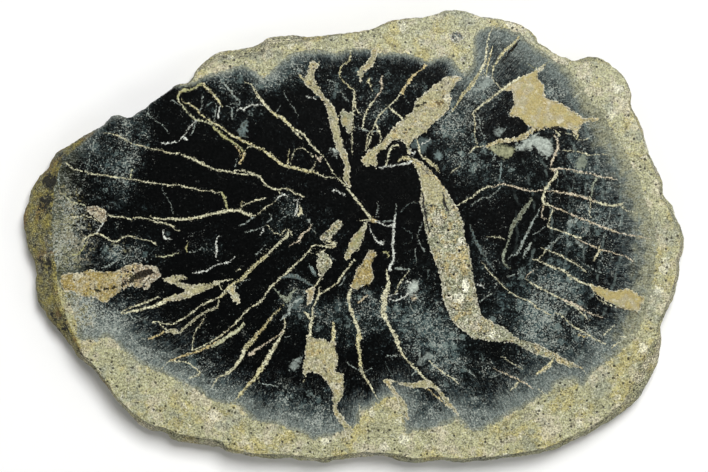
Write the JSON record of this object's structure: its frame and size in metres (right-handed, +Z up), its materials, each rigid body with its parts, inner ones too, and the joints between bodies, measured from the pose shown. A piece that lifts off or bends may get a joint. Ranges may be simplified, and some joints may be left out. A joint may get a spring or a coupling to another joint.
{
  "type": "polished petrified wood slice",
  "caption": "Flat polished slice of black petrified wood with pale mineral veins and a rough sandy rind, for display lying down.",
  "frame": {"origin": "centre of the outline's box, on the plane that the slice lies on", "axes": "+X along the slice's length, towards the end whose rind is all sand; +Y across it, towards the side where the rind bulges most; +Z up, out of the polished face"},
  "size_m": [0.1976, 0.135, 0.014],
  "materials": {
    "petrified_wood": "polished face of near-black silicified wood with cream, tan and grey veins and an olive sandy rind; broken edge and sawn underside are matte"
  },
  "bodies": {
    "root": {"petrified_wood_slice": "petrified_wood"}
  },
  "joints": []
}
